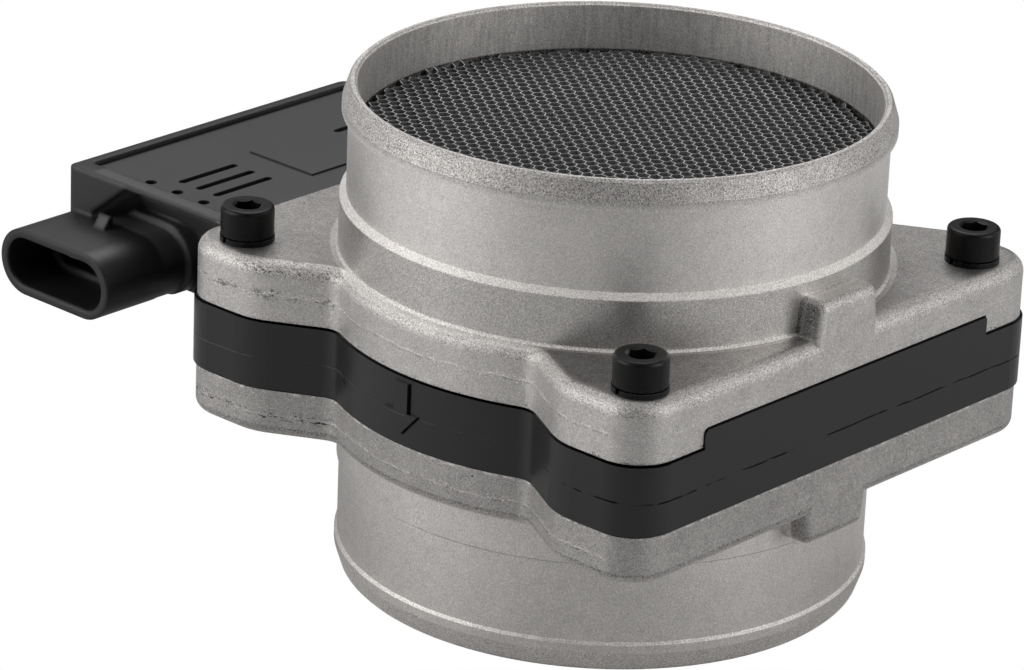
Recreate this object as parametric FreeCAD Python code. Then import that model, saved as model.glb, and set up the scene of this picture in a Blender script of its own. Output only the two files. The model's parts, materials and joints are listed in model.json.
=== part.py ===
import FreeCAD, Part
import math
import os

# Mass airflow sensor for a 3.5 inch intake duct.
# Two die-cast aluminium housings clamp a moulded plastic body between their
# flanges. The body carries the electronics box and its plug socket on one side
# and the sampling duct across the bore. All sizes are in millimetres.
#
# Z is the air path: z = 0 is the outlet rim and the inlet rim is at the top.
# The electronics box is on the -X side, its socket opens towards -Y, and the
# notched side of the flange faces +X.

# Lengths along the air path
outlet_spigot = 24.9
outlet_flange = 8.1
body_thickness = 12.0
inlet_flange = 9.8
inlet_spigot = 27.6

# Bore and spigot walls
flow_r = 40.6
spigot_wall = 2.8
bead_height = 1.05
rim_taper = 0.95
rim_length = 4.7
bead_land = 1.4
rim_break = 0.4
ring_step = 1.1
ring_chamfer = 1.0
inlet_ring = 8.4
outlet_ring = 6.3
outlet_ring_step = 0.4
outlet_bead_height = 0.45
root_flare = 0.4

# Flange outline, shared by both housings and the body
plate_x = -1.2
plate_y = 1.1
side_margin = 5.3
lobe_margin = 4.5
waist_margin = 1.9
corner_r = 7.2
lobe_width = 16.5
lobe_slope = 29.3
lobe_shoulder_r = 12.0
waist_fillet = 4.0
flange_edge_r = 2.4
outlet_edge_r = 2.0
body_proud = 0.35
body_edge_r = 0.4

# Clamp screws, M5 socket heads on split washers
screw_d = 5.0
screw_length = 30.0
head_d = 8.7
head_height = 5.0
head_chamfer = 0.25
tip_chamfer = 0.5
hex_flats = 4.0
hex_depth = 2.6
hex_mouth_d = 5.0
hex_mouth_slope = 60.0
washer_d = 8.9
washer_thickness = 0.9
washer_slit = 0.8
washer_turn = -100.0
head_round = 0.7
screw_inset_x = 7.6
screw_inset_y = 8.5
screw_row_shift = -0.8
hole_clearance = 0.25
thread_clearance = 0.05

# Locating bosses and the raised land on the +X side
boss_y = 0.7
boss_width = 15.9
boss_top_width = 13.9
boss_height = 6.3
outlet_boss_height = 5.0
boss_root = 6.0
boss_r = 1.8
boss_overlap = 1.0
rail_overlap = 0.6
land_y = 1.35
land_length = 69.3
land_height = 2.8
land_depth = 4.8
land_near_r = 1.0
land_far_r = 0.4
land_clearance = 0.1
land_gap = 0.3

# Flow arrow on the -Y side
arrow_x = -1.7
arrow_top_gap = 1.0
arrow_length = 8.9
arrow_shaft = 3.0
arrow_head = 7.1
arrow_head_length = 3.9
arrow_proud = 0.5

# Honeycomb flow straightener, drawn here with coarse cells
screen_seat = 1.5
screen_drop = 8.2
screen_thickness = 9.0
screen_clearance = 0.1
screen_frame = 0.9
cell_pitch = 8.0
cell_wall = 0.8

# Seals between the body and the housings
seal_inset = 1.9
seal_width = 2.0
seal_height = 1.6

# Electronics box
box_width = 36.65
box_gap = 0.15
box_pocket = 1.0
box_length = 65.8
box_front_inset = 8.7
box_rise = 2.6
box_front_r = 0.8
box_rear_r = 2.5
box_wall = 2.4
box_front_wall = 3.2
box_rear_wall = 2.6
box_side_wall = 1.9
lid_ledge = 1.5
lid_recess = 0.8
lid_thickness = 1.5
lid_gap = 0.12
lid_seal = 0.5
box_floor = 2.0
box_edge_r = 0.6
scoop_depth = 8.7
scoop_lip = 0.7
scoop_drop = 7.4
scoop_start = 5.6
scoop_slant = 8.0
scoop_slant_drop = 6.3
scoop_bevel = 1.6
scoop_back = 2.2
scoop_corner = 2.0
scoop_web = 2.2
bridge_overlap = 1.0
bridge_inset = 1.5

# Features on the lid
slot_width = 1.4
slot_length = 13.2
slot_pitch = 4.1
slot_count = 3
slot_first_x = 14.9
slot_front = 5.8
slot_rear = 4.5
slot_depth = 1.1
slot_roundness = 0.98
dimple_d = 2.0
dimple_pitch = 6.3
dimple_first_x = 11.6
dimple_front = 2.4
pad_x = 12.0
pad_width = 15.1
pad_front = 24.7
pad_rear = 3.3
pad_height = 0.35
pad_r = 0.3

# Plug socket
socket_width = 25.8
socket_height = 11.5
socket_wall = 1.5
socket_reach = 12.3
socket_depth = 10.0
socket_x = 9.9
socket_rise = 8.1
socket_step = 6.0
socket_step_wall = 1.1
socket_relief = 1.3
socket_relief_start = 0.7
collar_grow = 1.1
collar_length = 3.2
tab_width = 2.65
tab_shift = 0.4
tab_length = 2.0
tab_height = 2.05
tab_crest = 0.5
tab_setback = 0.8

# Terminals
terminal_pitch = 4.2
terminal_width = 1.5
terminal_thickness = 0.8
terminal_reach = 8.0
terminal_inner = 4.0
terminal_fit = 0.05
terminal_names = ("terminal_ground", "terminal_signal", "terminal_supply")

# Circuit board and what it carries. The chip and the capacitors are placed from
# its front end, the resistors from its middle, the transistor and the can from
# its rear end.
board_margin = 0.6
plate_thickness = 1.0
board_thickness = 1.6
chip_place = (10.5, 15.0)
chip_size = (8.6, 4.0, 1.6)
chip_standoff = 0.15
chip_leads = 7
chip_lead_pitch = 1.27
chip_lead_size = (0.42, 6.0, 0.6)
transistor_place = (18.0, -10.8)
transistor_size = (6.6, 6.2, 2.3)
transistor_tab = (5.2, 2.0, 0.9)
transistor_tab_reach = 0.5
capacitor_place = (4.5, 22.0)
capacitor_pitch = 3.6
capacitor_count = 4
capacitor_size = (2.0, 1.25, 1.2)
resistor_place = (6.0, 3.6)
resistor_pitch = (5.0, 3.2)
resistor_rows = (3, 2)
resistor_size = (3.2, 1.6, 0.6)
can_place = (7.0, -9.3)
can_d = 6.3
can_height = 7.0
can_foot = 0.8
can_step = 0.2

# Sampling duct and sensing elements
duct_r = 8.5
duct_mouth_r = 6.6
duct_throat_r = 5.2
duct_length = 20.0
duct_lip = 1.0
duct_lip_length = 2.0
throat_length = 8.0
arm_width = 8.0
arm_height = 13.0
tongue_width = 8.0
tongue_height = 4.2
tongue_gap = 0.1
tongue_overlap = 1.5
arm_gap = 1.0
post_r = 0.4
post_pitch = 2.0
post_count = 4
post_fit = 0.05
post_overhang = 6.0
element_width = 2.5
element_height = 4.0
element_thickness = 0.4
bead_d = 2.2
bead_stand = 3.4
bead_stem_r = 0.35
bead_gap = 0.1
bead_x = -22.0

# Heights worked out from the stack
outlet_face_z = outlet_spigot + outlet_flange
inlet_face_z = outlet_face_z + body_thickness
flange_top_z = inlet_face_z + inlet_flange
rim_z = flange_top_z + inlet_spigot

# Radii worked out from the bore
spigot_r = flow_r + spigot_wall
bead_r = spigot_r + bead_height
ring_r = spigot_r + ring_step
screen_r = flow_r + screen_seat
outlet_ring_r = spigot_r + outlet_ring_step
outlet_bead_r = spigot_r + outlet_bead_height
waist_r = ring_r + waist_margin
plate_half_x = ring_r + side_margin
plate_half_y = ring_r + lobe_margin
shoulder_x = plate_half_x - lobe_width
flange_x0 = plate_x - plate_half_x
flange_x1 = plate_x + plate_half_x
flange_y0 = plate_y - plate_half_y
seal_r = flow_r + seal_inset

# Screw positions
screw_x = plate_half_x - screw_inset_x
screw_y = plate_half_y - screw_inset_y
screw_places = [(sx * screw_x, sy * screw_y + screw_row_shift) for sx in (-1, 1) for sy in (-1, 1)]

# Box corners
box_side_x = flange_x0 + box_pocket
box_x1 = box_side_x - box_gap
box_x0 = box_x1 - box_width
box_y0 = flange_y0 + box_front_inset
box_y1 = box_y0 + box_length
box_z0 = outlet_face_z + box_rise
box_z1 = flange_top_z
lid_x0 = box_x0 + box_wall
lid_x1 = box_x1
lid_y0 = box_y0 + box_front_wall
lid_y1 = box_y1 - box_rear_wall
lid_top_z = box_z1 - lid_recess
ledge_z = lid_top_z - lid_thickness - lid_seal
cavity_x0 = lid_x0 + lid_ledge
cavity_x1 = box_x1 - box_side_wall
cavity_y0 = box_y0 + scoop_depth + scoop_web
cavity_y1 = lid_y1 - lid_ledge
cavity_middle_y = (cavity_y0 + cavity_y1) / 2
floor_z = box_z0 + box_floor

# Socket, board and duct positions
socket_centre_x = box_x0 + socket_x
socket_z = outlet_face_z + socket_rise
socket_r = socket_height / 2
socket_y0 = box_y0 - socket_reach
socket_step_y = socket_y0 + socket_depth
socket_base_y = socket_step_y + socket_step
wall_y = box_y0 + scoop_depth
board_z = floor_z + plate_thickness
board_top_z = board_z + board_thickness
duct_z = board_top_z + post_r + post_fit
post_start_x = cavity_x1 - post_overhang

ORIGIN = FreeCAD.Vector(0, 0, 0)
UP = FreeCAD.Vector(0, 0, 1)


def vec(x, y, z=0.0):
    """Short name for a vector."""
    return FreeCAD.Vector(x, y, z)


def polygon_face(points):
    """Flat face with straight edges through the points."""
    return Part.Face(Part.makePolygon([*points, points[0]]))


def box(x0, x1, y0, y1, z0, z1):
    """Block between two corners."""
    return Part.makeBox(x1 - x0, y1 - y0, z1 - z0, vec(x0, y0, z0))


def cylinder(radius, z0, z1, x=0.0, y=0.0):
    """Upright cylinder between two heights."""
    return Part.makeCylinder(radius, z1 - z0, vec(x, y, z0))


def revolved(profile):
    """Solid of revolution about Z from (radius, height) corners."""
    face = polygon_face([vec(radius, 0, height) for radius, height in profile])
    return face.revolve(ORIGIN, UP, 360)


def rounded_wire(corners, z):
    """Closed outline through (x, y, radius) corners, with a tangent arc at each radius."""
    edges = []
    ends = []
    count = len(corners)
    for i, (x, y, radius) in enumerate(corners):
        here = vec(x, y, z)
        before = (vec(*corners[i - 1][:2], z) - here).normalize()
        after = (vec(*corners[(i + 1) % count][:2], z) - here).normalize()
        if radius == 0:
            ends.append((here, here))
            continue
        half = before.getAngle(after) / 2
        reach = radius / math.tan(half)
        bisector = (before + after).normalize()
        centre = here + bisector * (radius / math.sin(half))
        start, end = here + before * reach, here + after * reach
        edges.append(Part.Arc(start, centre - bisector * radius, end).toShape())
        ends.append((start, end))
    for i in range(count):
        start, end = ends[i][1], ends[(i + 1) % count][0]
        if start.distanceToPoint(end) > 1e-6:
            edges.append(Part.LineSegment(start, end).toShape())
    return Part.Wire(Part.__sortEdges__(edges))


def rounded_prism(corners, z0, z1):
    """Upright prism over a rounded outline."""
    return Part.Face(rounded_wire(corners, z0)).extrude(vec(0, 0, z1 - z0))


def rounded_box(x0, x1, y0, y1, z0, z1, front_r, rear_r):
    """Block with its upright edges rounded, one radius in front and one at the rear."""
    corners = [(x0, y0, front_r), (x1, y0, front_r), (x1, y1, rear_r), (x0, y1, rear_r)]
    return rounded_prism(corners, z0, z1)


def stadium(width, height, y0, y1, rise=0.0):
    """Prism along Y with straight top and bottom and half-round ends, about the socket axis or above it."""
    radius = height / 2
    reach = width / 2 - radius
    x0, x1 = socket_centre_x - reach, socket_centre_x + reach
    middle = socket_z + rise
    z0, z1 = middle - radius, middle + radius
    top = Part.LineSegment(vec(x0, y0, z1), vec(x1, y0, z1))
    right = Part.Arc(vec(x1, y0, z1), vec(x1 + radius, y0, middle), vec(x1, y0, z0))
    bottom = Part.LineSegment(vec(x1, y0, z0), vec(x0, y0, z0))
    left = Part.Arc(vec(x0, y0, z0), vec(x0 - radius, y0, middle), vec(x0, y0, z1))
    wire = Part.Wire([side.toShape() for side in (top, right, bottom, left)])
    return Part.Face(wire).extrude(vec(0, y1 - y0, 0))


def edges_at(shape, z):
    """Edges that lie wholly at one height."""
    found = []
    for edge in shape.Edges:
        bounds = edge.BoundBox
        if abs(bounds.ZMin - z) < 1e-4 and abs(bounds.ZMax - z) < 1e-4:
            found.append(edge)
    return found


def edges_along(shape, axis, test):
    """Straight edges along an axis whose middle passes the test."""
    found = []
    for edge in shape.Edges:
        if not isinstance(edge.Curve, Part.Line):
            continue
        if abs(edge.tangentAt(edge.FirstParameter).dot(axis)) < 0.999:
            continue
        if test(edge.CenterOfMass):
            found.append(edge)
    return found


def flange_plate(z0, z1, grow=0.0):
    """Plate with four screw lobes and a waist round the bore between them."""
    half_x, half_y = plate_half_x + grow, plate_half_y + grow
    waist = waist_r + grow
    slope = math.tan(math.radians(lobe_slope))
    inner_x = shoulder_x / 2
    inner_y = half_y - (shoulder_x - inner_x) * slope
    quarter = [(half_x, half_y, corner_r), (shoulder_x, half_y, lobe_shoulder_r), (inner_x, inner_y, 0)]
    corners = list(quarter)
    corners += [(-x, y, radius) for x, y, radius in reversed(quarter)]
    corners += [(-x, -y, radius) for x, y, radius in quarter]
    corners += [(x, -y, radius) for x, y, radius in reversed(quarter)]
    lobes = rounded_prism(corners, z0, z1).translated(vec(plate_x, plate_y))
    plate = lobes.fuse(cylinder(waist, z0, z1)).removeSplitter()
    valleys = edges_along(plate, UP, lambda p: abs(math.hypot(p.x, p.y) - waist) < 1e-3)
    return plate.makeFillet(waist_fillet, valleys)


def screw_holes(radius, z0, z1):
    """Four pins that cut the screw holes."""
    holes = [cylinder(radius, z0, z1, x, y) for x, y in screw_places]
    return Part.makeCompound(holes)


def boss_block(z0, z1, top):
    """Locating boss on the +X side, drawn in and rounded towards its free end."""
    x0, x1 = ring_r - boss_root, flange_x1
    root_z, free_z = (z0, z1) if top else (z1, z0)
    root, free = boss_width / 2, boss_top_width / 2
    side = [(-root, root_z), (root, root_z), (free, free_z), (-free, free_z)]
    block = polygon_face([vec(x0, boss_y + y, z) for y, z in side]).extrude(vec(x1 - x0, 0))
    rounded = []
    for edge in block.Edges:
        middle = edge.CenterOfMass
        if middle.x > x0 + 1e-3 and abs(middle.z - root_z) > 1e-3:
            on_side = middle.x > x1 - 1e-3
            at_free_end = abs(middle.z - free_z) < 1e-3
            if on_side or at_free_end:
                rounded.append(edge)
    return block.makeFillet(boss_r, rounded)


def side_land(clearance, gap):
    """Raised land of the body that fills the relief in the inlet flange."""
    half = land_length / 2 + clearance
    x1 = flange_x1 + body_proud
    z0 = inlet_face_z - body_edge_r - land_clearance
    z1 = inlet_face_z + land_height + gap
    land = box(x1 - land_depth - clearance, x1, land_y - half, land_y + half, z0, z1)
    near = edges_along(land, vec(1, 0), lambda p: p.z > z1 - 1e-3 and p.y < land_y)
    land = land.makeFillet(land_near_r, near)
    far = edges_along(land, vec(1, 0), lambda p: p.z > z1 - 1e-3 and p.y > land_y)
    return land.makeFillet(land_far_r, far)


def inlet_housing():
    """Casting from the body up to the inlet rim."""
    plate = flange_plate(inlet_face_z, flange_top_z)
    plate = plate.makeFillet(flange_edge_r, edges_at(plate, flange_top_z))
    ring_top = flange_top_z + inlet_ring
    bead_z = rim_z - rim_length
    spigot = revolved([
        (0, inlet_face_z),
        (ring_r + root_flare, inlet_face_z),
        (ring_r + root_flare, flange_top_z),
        (ring_r, flange_top_z + root_flare),
        (ring_r, ring_top),
        (spigot_r, ring_top + ring_chamfer),
        (spigot_r, bead_z),
        (bead_r, bead_z),
        (bead_r, bead_z + bead_land),
        (bead_r - rim_taper, rim_z - rim_break),
        (bead_r - rim_taper - rim_break, rim_z),
        (0, rim_z),
    ])
    boss_z = flange_top_z + boss_height
    boss = boss_block(flange_top_z - flange_edge_r - boss_overlap, boss_z, True)
    rail = box(
        box_side_x, flange_x0 + flange_edge_r + rail_overlap, box_y0, box_y1,
        flange_top_z - flange_edge_r - rail_overlap, flange_top_z,
    )
    casting = plate.fuse([spigot, boss, rail])
    shoulder_z = rim_z - screen_drop - screen_thickness
    bore = revolved([
        (0, inlet_face_z - 1),
        (flow_r, inlet_face_z - 1),
        (flow_r, shoulder_z),
        (screen_r, shoulder_z),
        (screen_r, rim_z - rim_break),
        (screen_r + rim_break, rim_z),
        (screen_r + rim_break, rim_z + 1),
        (0, rim_z + 1),
    ])
    relief = side_land(land_clearance, land_gap)
    pocket = box(flange_x0 - 1, box_side_x, box_y0 - box_gap, box_y1 + box_gap, inlet_face_z - 1, flange_top_z + 1)
    holes = screw_holes(screw_d / 2 + hole_clearance, inlet_face_z - 1, flange_top_z + 1)
    return casting.cut([bore, relief, pocket, holes]).removeSplitter()


def outlet_housing():
    """Casting from the body down to the outlet rim."""
    plate = flange_plate(outlet_spigot, outlet_face_z)
    plate = plate.makeFillet(outlet_edge_r, edges_at(plate, outlet_spigot))
    ring_z = outlet_spigot - outlet_ring
    spigot = revolved([
        (0, 0),
        (outlet_bead_r - rim_taper - rim_break, 0),
        (outlet_bead_r - rim_taper, rim_break),
        (outlet_bead_r, rim_length - bead_land),
        (outlet_bead_r, rim_length),
        (spigot_r, rim_length + outlet_bead_height),
        (spigot_r, ring_z - outlet_ring_step),
        (outlet_ring_r, ring_z),
        (outlet_ring_r, outlet_face_z),
        (0, outlet_face_z),
    ])
    casting = plate.fuse(spigot).removeSplitter()
    boss_z = outlet_spigot - outlet_boss_height
    casting = casting.fuse(boss_block(boss_z, outlet_spigot + outlet_edge_r + boss_overlap, False))
    bore = revolved([
        (0, -1),
        (flow_r + rim_break, -1),
        (flow_r + rim_break, 0),
        (flow_r, rim_break),
        (flow_r, outlet_face_z + 1),
        (0, outlet_face_z + 1),
    ])
    holes = screw_holes(screw_d / 2 + thread_clearance, outlet_spigot - 1, outlet_face_z + 1)
    return casting.cut([bore, holes]).removeSplitter()


def seal_ring(z0, z1, grow=0.0):
    """Square-section ring round the bore."""
    outer = cylinder(seal_r + seal_width + grow, z0, z1)
    return outer.cut(cylinder(seal_r - grow, z0, z1))


def flow_arrow():
    """Raised arrow that shows the way of the air, wrapped on the waist of the body."""
    top = inlet_face_z - arrow_top_gap
    tip = top - arrow_length
    neck = tip + arrow_head_length
    shaft, head = arrow_shaft / 2, arrow_head / 2
    outline = [(shaft, top), (shaft, neck), (head, neck), (0, tip), (-head, neck), (-shaft, neck), (-shaft, top)]
    waist = waist_r + body_proud
    face = polygon_face([vec(arrow_x + x, -waist - 2, z) for x, z in outline])
    return face.extrude(vec(0, 4, 0)).common(cylinder(waist + arrow_proud, tip - 1, top + 1))


def scoop():
    """Hollow in the front wall of the box, over and beside the socket, its left edge bevelled."""
    lip = box_z1 - scoop_lip
    roof = lip - scoop_drop
    left = box_x0 + scoop_start
    sections = [
        (box_y0 - 1, left, lip, scoop_slant, scoop_slant_drop),
        (box_y0, left, lip, scoop_slant, scoop_slant_drop),
        (box_y0 + scoop_bevel, left + scoop_bevel, lip, scoop_slant, scoop_slant_drop),
        (wall_y, left + scoop_back, roof, scoop_corner, scoop_corner),
    ]
    right = box_x1 + scoop_depth
    low = box_z0 - 1
    wires = []
    for y, x, top, run, drop in sections:
        outline = [(x, low), (x, top - drop), (x + run, top), (right, top), (right, low)]
        corners = [vec(px, y, pz) for px, pz in outline]
        wires.append(Part.makePolygon([*corners, corners[0]]))
    parts = [Part.makeLoft(wires[i:i + 2], True, True) for i in range(len(wires) - 1)]
    return parts[0].fuse(parts[1:])


def lock_tab():
    """Wedge on top of the socket that the plug's latch snaps over."""
    top = socket_z + socket_r
    back = box_y0 - tab_setback
    foot = top - socket_wall / 2
    crest = top + tab_height
    side = [
        (back - tab_length, foot), (back - tab_length, top), (back - tab_crest, crest),
        (back, crest), (back, foot),
    ]
    x0 = socket_centre_x + tab_shift - tab_width / 2
    return polygon_face([vec(x0, y, z) for y, z in side]).extrude(vec(tab_width, 0, 0))


def terminal_blade(x, fit=0.0):
    """Flat pin from inside the socket to its foot on the circuit board."""
    half_w, half_t = terminal_width / 2 + fit, terminal_thickness / 2 + fit
    y0, y1 = socket_base_y - terminal_reach, cavity_y0 + terminal_inner
    blade = box(x - half_w, x + half_w, y0, y1, socket_z - half_t, socket_z + half_t)
    foot = box(x - half_w, x + half_w, y1 - 2 * half_t, y1, board_top_z, socket_z)
    return blade.fuse(foot).removeSplitter()


def terminal_places():
    """X of the three terminals."""
    return [socket_centre_x + (i - 1) * terminal_pitch for i in range(3)]


def duct_tongue(gap):
    """Root of the sampling duct, from the bore to the box, and the slot it sits in."""
    half_w, half_h = tongue_width / 2 + gap, tongue_height / 2 + gap
    return box(cavity_x1 - gap, tongue_overlap - flow_r, -half_w, half_w, duct_z - half_h, duct_z + half_h)


def sensor_body():
    """Moulding between the housings, with the box and the socket."""
    plate = flange_plate(outlet_face_z, inlet_face_z, body_proud)
    rims = edges_at(plate, inlet_face_z) + edges_at(plate, outlet_face_z)
    plate = plate.makeFillet(body_edge_r, rims)
    shell = rounded_box(box_x0, box_x1, box_y0, box_y1, box_z0, box_z1, box_front_r, box_rear_r)
    shell = shell.makeFillet(box_edge_r, edges_at(shell, box_z1))
    bridge = box(
        box_x1 - bridge_overlap, box_x1 + corner_r, wall_y + bridge_inset, box_y1 - bridge_inset,
        box_z0, inlet_face_z - body_edge_r,
    )
    shell = shell.cut(scoop()).fuse(bridge)
    socket = stadium(socket_width, socket_height, socket_y0, wall_y + 1)
    relief_z = socket_z - socket_r
    under = box(
        socket_centre_x - socket_width / 2, socket_centre_x + socket_width,
        box_y0 + socket_relief_start, wall_y - collar_length, relief_z - 1, relief_z + socket_relief,
    )
    collar = stadium(
        socket_width + 2 * collar_grow, socket_height + collar_grow,
        wall_y - collar_length, wall_y + 1, collar_grow / 2,
    )
    collar = collar.common(box(box_x0, box_x1, box_y0, wall_y + 1, box_z0 - 2, box_z1))
    body = plate.fuse([shell, side_land(0.0, 0.0), flow_arrow(), socket.cut(under), collar, lock_tab()])
    cavity = box(cavity_x0, cavity_x1, cavity_y0, cavity_y1, floor_z, box_z1 + 1)
    lid_seat = rounded_box(lid_x0, lid_x1, lid_y0, lid_y1, ledge_z, box_z1 + 1, box_front_r, box_front_r)
    mouth_wall = 2 * socket_wall
    plug_space = stadium(socket_width - mouth_wall, socket_height - mouth_wall, socket_y0 - 1, socket_step_y)
    step_wall = mouth_wall + 2 * socket_step_wall
    pin_space = stadium(socket_width - step_wall, socket_height - step_wall, socket_y0, socket_base_y)
    bore = cylinder(flow_r, outlet_face_z - 1, inlet_face_z + 1)
    grooves = [
        seal_ring(inlet_face_z - seal_height, inlet_face_z + 1),
        seal_ring(outlet_face_z - 1, outlet_face_z + seal_height),
    ]
    slots = [terminal_blade(x, terminal_fit) for x in terminal_places()]
    holes = screw_holes(screw_d / 2 + hole_clearance, outlet_face_z - 1, inlet_face_z + land_height + 1)
    cuts = [cavity, lid_seat, plug_space, pin_space, bore, duct_tongue(tongue_gap), holes, *grooves, *slots]
    return body.cut(cuts).removeSplitter()


def row_of_slots(y0):
    """Slots of the lid in one row, from the Y of their front ends."""
    radius = slot_width / 2
    z0 = lid_top_z - slot_depth
    cutters = []
    for i in range(slot_count):
        x = lid_x0 + slot_first_x + i * slot_pitch
        corners = [(x - radius, y0), (x + radius, y0), (x + radius, y0 + slot_length), (x - radius, y0 + slot_length)]
        cutters.append(rounded_prism([(*corner, radius * slot_roundness) for corner in corners], z0, box_z1))
    return cutters


def electronics_cover():
    """Lid let into the rim of the box, with its raised pad, slots and dimples."""
    lid = rounded_box(
        lid_x0 + lid_gap, lid_x1 - lid_gap, lid_y0 + lid_gap, lid_y1 - lid_gap,
        lid_top_z - lid_thickness, lid_top_z, box_front_r, box_front_r,
    )
    x0, y0 = lid_x0 + pad_x, lid_y0 + pad_front
    pad = rounded_box(x0, x0 + pad_width, y0, lid_y1 - pad_rear, lid_top_z - pad_height, lid_top_z + pad_height, pad_r, pad_r)
    dimples = []
    for i in range(slot_count):
        x = lid_x0 + dimple_first_x + i * dimple_pitch
        dimples.append(cylinder(dimple_d / 2, lid_top_z - slot_depth, box_z1, x, lid_y0 + dimple_front))
    slots = row_of_slots(lid_y0 + slot_front) + row_of_slots(lid_y1 - slot_rear - slot_length)
    return lid.fuse(pad).cut(slots + dimples).removeSplitter()


def cover_seal():
    """Flat ring under the edge of the lid."""
    z1 = ledge_z + lid_seal
    outer = rounded_box(
        lid_x0 + lid_gap, lid_x1 - lid_gap, lid_y0 + lid_gap, lid_y1 - lid_gap, ledge_z, z1, box_front_r, box_front_r,
    )
    return outer.cut(box(cavity_x0, cavity_x1, lid_y0 + lid_ledge, cavity_y1, ledge_z - 1, z1 + 1))


def flow_straightener():
    """Round honeycomb of open cells in a thin frame."""
    z0 = rim_z - screen_drop - screen_thickness
    z1 = z0 + screen_thickness
    outer_r = screen_r - screen_clearance
    clear_r = outer_r - screen_frame
    corner = (cell_pitch - cell_wall) / math.sqrt(3)
    row_step = cell_pitch * math.sqrt(3) / 2
    rows = int(clear_r / row_step)
    cells = []
    for row in range(-rows, rows + 1):
        shift = cell_pitch / 2 if row % 2 else 0
        columns = int(clear_r / cell_pitch) + 1
        for column in range(-columns, columns + 1):
            x, y = column * cell_pitch + shift, row * row_step
            if math.hypot(x, y) > clear_r - corner / 2:
                continue
            turns = [math.radians(30 + 60 * k) for k in range(6)]
            ring = [vec(x + corner * math.cos(a), y + corner * math.sin(a), z0 - 1) for a in turns]
            cells.append(polygon_face(ring).extrude(vec(0, 0, screen_thickness + 2)))
    inside = cylinder(clear_r, z0 - 1, z1 + 1)
    openings = Part.makeCompound([cell.common(inside) for cell in cells])
    return cylinder(outer_r, z0, z1).cut(openings)


def hex_socket(z1):
    """Cutter for the key of a screw head, with a countersunk mouth."""
    corner = hex_flats / math.sqrt(3)
    ring = [vec(corner * math.cos(math.radians(60 * k)), corner * math.sin(math.radians(60 * k)), z1 - hex_depth)
            for k in range(6)]
    mouth_r = hex_mouth_d / 2
    mouth_depth = mouth_r / math.tan(math.radians(hex_mouth_slope))
    mouth = Part.makeCone(0, mouth_r, mouth_depth, vec(0, 0, z1 - mouth_depth))
    return polygon_face(ring).extrude(vec(0, 0, hex_depth + 1)).fuse(mouth)


def clamp_screws():
    """Four socket head screws through the stack."""
    seat = flange_top_z + washer_thickness
    top = seat + head_height
    shank, head = screw_d / 2, head_d / 2
    tip = seat - screw_length
    one = revolved([
        (0, tip), (shank - tip_chamfer, tip), (shank, tip + tip_chamfer), (shank, seat),
        (head - head_chamfer, seat), (head, seat + head_chamfer), (head, top), (0, top),
    ])
    one = one.makeFillet(head_round, edges_at(one, top)).cut(hex_socket(top))
    return Part.makeCompound([one.translated(vec(x, y)) for x, y in screw_places])


def lock_washers():
    """Four split washers under the screw heads."""
    z0, z1 = flange_top_z, flange_top_z + washer_thickness
    ring = cylinder(washer_d / 2, z0, z1).cut(cylinder(screw_d / 2 + hole_clearance, z0, z1))
    slit = box(0, washer_d, -washer_slit / 2, washer_slit / 2, z0 - 1, z1 + 1)
    slit.rotate(ORIGIN, UP, washer_turn)
    one = ring.cut(slit)
    return Part.makeCompound([one.translated(vec(x, y)) for x, y in screw_places])


def board_block(x, y, size, from_y=cavity_y0, lift=0.0):
    """Small block on the board, centred on a place measured from the left of the cavity and a Y."""
    z0 = board_top_z + lift
    cx, cy = cavity_x0 + x, from_y + y
    length, width, height = size
    return box(cx - length / 2, cx + length / 2, cy - width / 2, cy + width / 2, z0, z0 + height)


def base_plate():
    """Aluminium plate that the circuit board is bonded to."""
    return box(
        cavity_x0 + board_margin, cavity_x1 - board_margin, cavity_y0 + board_margin, cavity_y1 - board_margin,
        floor_z, board_z,
    )


def circuit_board():
    """Board on the base plate."""
    return box(
        cavity_x0 + board_margin, cavity_x1 - board_margin, cavity_y0 + board_margin, cavity_y1 - board_margin,
        board_z, board_top_z,
    )


def controller_chip():
    """Signal chip with two rows of leads."""
    length, width, height = chip_size
    x, y = chip_place
    chip = board_block(x, y, (length, width, height - chip_standoff), lift=chip_standoff)
    first = x - (chip_leads - 1) / 2 * chip_lead_pitch
    leads = [board_block(first + i * chip_lead_pitch, y, chip_lead_size) for i in range(chip_leads)]
    return chip.fuse(leads)


def power_transistor():
    """Bridge driver with its cooling tab."""
    x, y = transistor_place
    case = board_block(x, y, transistor_size, cavity_y1)
    tab = board_block(x, y + transistor_size[1] / 2 + transistor_tab_reach, transistor_tab, cavity_y1)
    return case.fuse(tab).removeSplitter()


def chip_capacitors():
    """Row of ceramic capacitors."""
    x, y = capacitor_place
    return Part.makeCompound([board_block(x + capacitor_pitch * i, y, capacitor_size) for i in range(capacitor_count)])


def chip_resistors():
    """Two rows of bridge resistors."""
    blocks = []
    for column in range(resistor_rows[0]):
        for row in range(resistor_rows[1]):
            x = resistor_place[0] + column * resistor_pitch[0]
            y = resistor_place[1] + row * resistor_pitch[1]
            blocks.append(board_block(x, y, resistor_size, cavity_middle_y))
    return Part.makeCompound(blocks)


def filter_capacitor():
    """Upright can with a stepped base."""
    foot = board_block(*can_place, (can_d, can_d, can_foot), cavity_y1)
    x, y = cavity_x0 + can_place[0], cavity_y1 + can_place[1]
    return foot.fuse(cylinder(can_d / 2 - can_step, board_top_z + can_foot, board_top_z + can_height, x, y))


def post_places():
    """Y of the posts, two for each element."""
    return [(i - (post_count - 1) / 2) * post_pitch for i in range(post_count)]


def post_rods(radius, x1):
    """Straight rods from over the board to the elements."""
    rods = []
    for y in post_places():
        rods.append(Part.makeCylinder(radius, x1 - post_start_x, vec(post_start_x, y, duct_z), vec(1, 0)))
    return rods


def element_posts():
    """Four steel posts that carry the elements and their current."""
    return Part.makeCompound(post_rods(post_r, -element_thickness / 2))


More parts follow.
